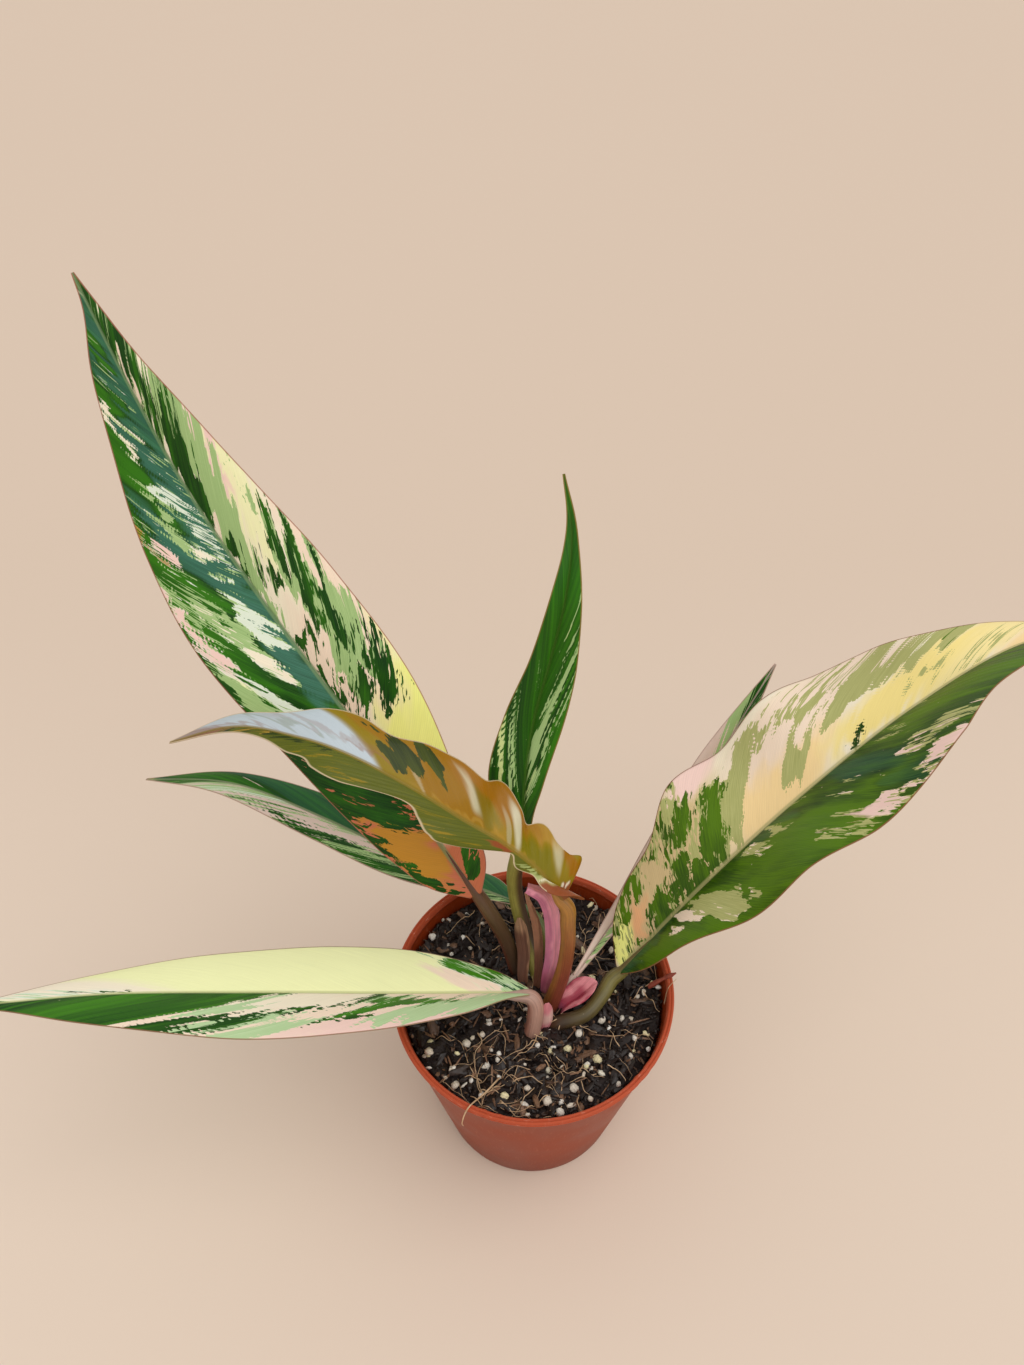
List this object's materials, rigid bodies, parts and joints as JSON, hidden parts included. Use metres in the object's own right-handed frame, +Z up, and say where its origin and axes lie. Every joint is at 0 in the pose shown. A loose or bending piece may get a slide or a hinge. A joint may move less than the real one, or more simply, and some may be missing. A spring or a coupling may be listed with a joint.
{
  "type": "potted caramel marble philodendron",
  "caption": "Variegated philodendron with long marbled leaves on short stalks, in a tapered round plastic nursery pot of bark mix.",
  "frame": {"origin": "centre of the pot's flat underside", "axes": "+Z up along the pot's axis; the plant's front, seen in the picture, faces -Y; the broad leaf reaches towards +X and the level leaf towards -X"},
  "size_m": [0.4634, 0.1707, 0.3553],
  "materials": {
    "blade_tall": "waxy, semi-gloss; cream, yellow and green marbling",
    "blade_caramel": "glossy, soft new leaf; orange-brown with olive",
    "blade_upright": "waxy, semi-gloss; green with cream streaks",
    "blade_low": "waxy, satin; dark green and pale pink halves",
    "blade_flat": "waxy, satin; pale yellow and dark green halves",
    "blade_right": "waxy, semi-gloss; cream and dark green marbling",
    "blade_hidden": "waxy, satin; pale green",
    "petiole_tall": "olive-brown, satin",
    "petiole_caramel": "orange-brown, semi-gloss",
    "petiole_upright": "yellow-green, satin",
    "petiole_low": "green, satin",
    "petiole_flat": "brownish pink, satin",
    "petiole_right": "olive, satin",
    "petiole_hidden": "pale, satin",
    "pink_strap": "thin, satin pink",
    "tan_strip": "thin, matt tan",
    "pink_boat": "thin, glossy deep pink",
    "small_scale": "thin, matt pale pink",
    "dry_sheath": "papery, matt brown",
    "stem": "matt, fibrous",
    "soil": "matt dark bark mix with pale grains",
    "pot": "terracotta-coloured, satin"
  },
  "bodies": {
    "root": {"blade_tall": "blade_tall", "blade_caramel": "blade_caramel", "blade_upright": "blade_upright", "blade_low": "blade_low", "blade_flat": "blade_flat", "blade_right": "blade_right", "blade_hidden": "blade_hidden", "petiole_tall": "petiole_tall", "petiole_caramel": "petiole_caramel", "petiole_upright": "petiole_upright", "petiole_low": "petiole_low", "petiole_flat": "petiole_flat", "petiole_right": "petiole_right", "petiole_hidden": "petiole_hidden", "pink_strap": "pink_strap", "tan_strip": "tan_strip", "pink_boat": "pink_boat", "small_scale": "small_scale", "dry_sheath": "dry_sheath", "stem": "stem", "soil": "soil", "pot": "pot"}
  },
  "joints": []
}
